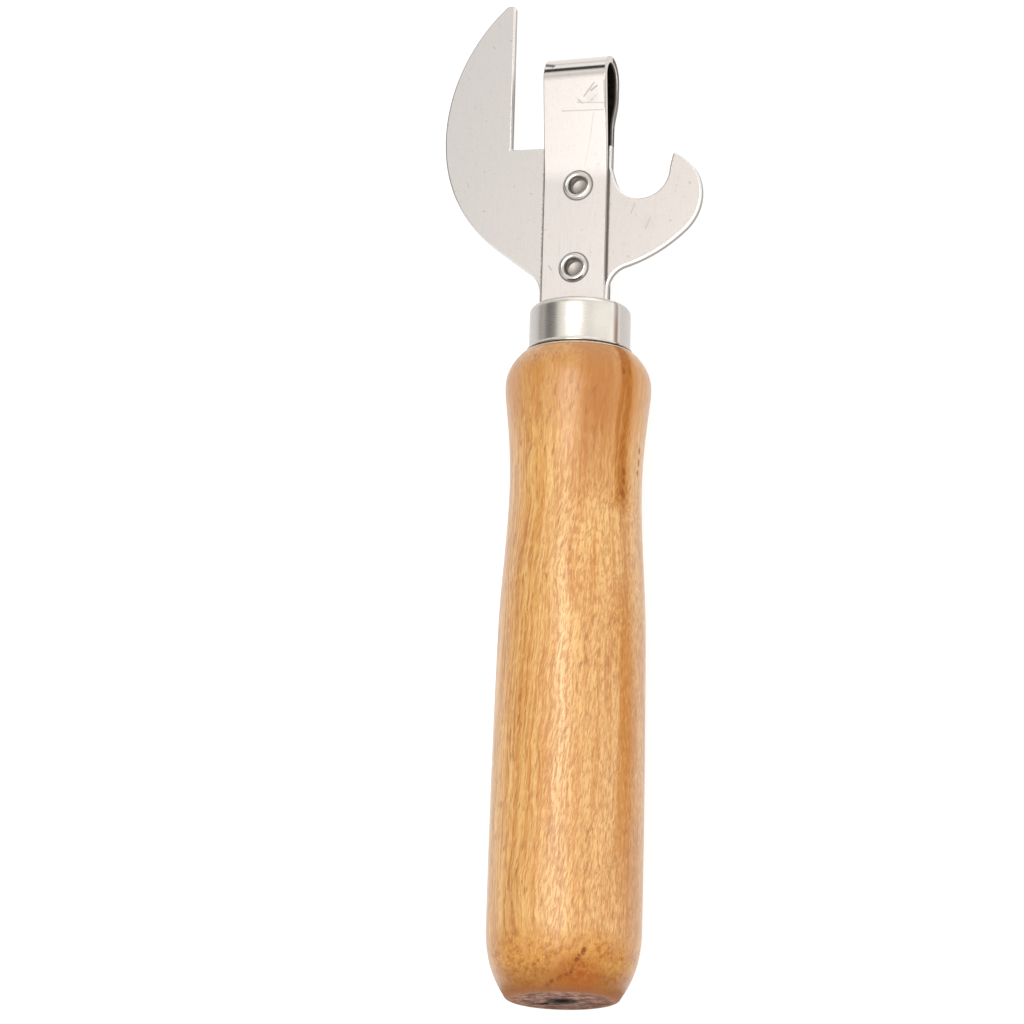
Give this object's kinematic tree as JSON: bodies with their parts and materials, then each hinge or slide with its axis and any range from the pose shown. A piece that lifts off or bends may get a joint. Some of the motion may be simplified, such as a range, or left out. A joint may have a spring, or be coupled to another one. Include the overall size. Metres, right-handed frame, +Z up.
{
  "type": "manual can opener",
  "caption": "Lever can opener with a curved piercing blade, a folded rim guide, a cap hook and a turned wooden handle.",
  "frame": {"origin": "on the surface that the opener lies on, under the middle of its bounding box", "axes": "+Y from the butt of the handle to the tip of the blade, +X from the blade to the cap hook, +Z up, out of the front face where the rivets are rolled over"},
  "size_m": [0.0466, 0.175, 0.0259],
  "materials": {
    "varnished_wood": "clear gloss varnish over honey-coloured, fine-grained hardwood",
    "ferrule_steel": "polished, with fine turning marks",
    "plate_steel": "satin, fine rolling marks and light scuffs",
    "strip_steel": "satin to semi-bright, light scuffs",
    "rivet_steel": "bright, darker in the hollow of the rolled end"
  },
  "bodies": {
    "root": {"handle": "varnished_wood", "ferrule": "ferrule_steel", "blade_plate": "plate_steel", "guide_strip": "strip_steel", "rivet_upper": "rivet_steel", "rivet_lower": "rivet_steel"}
  },
  "joints": []
}
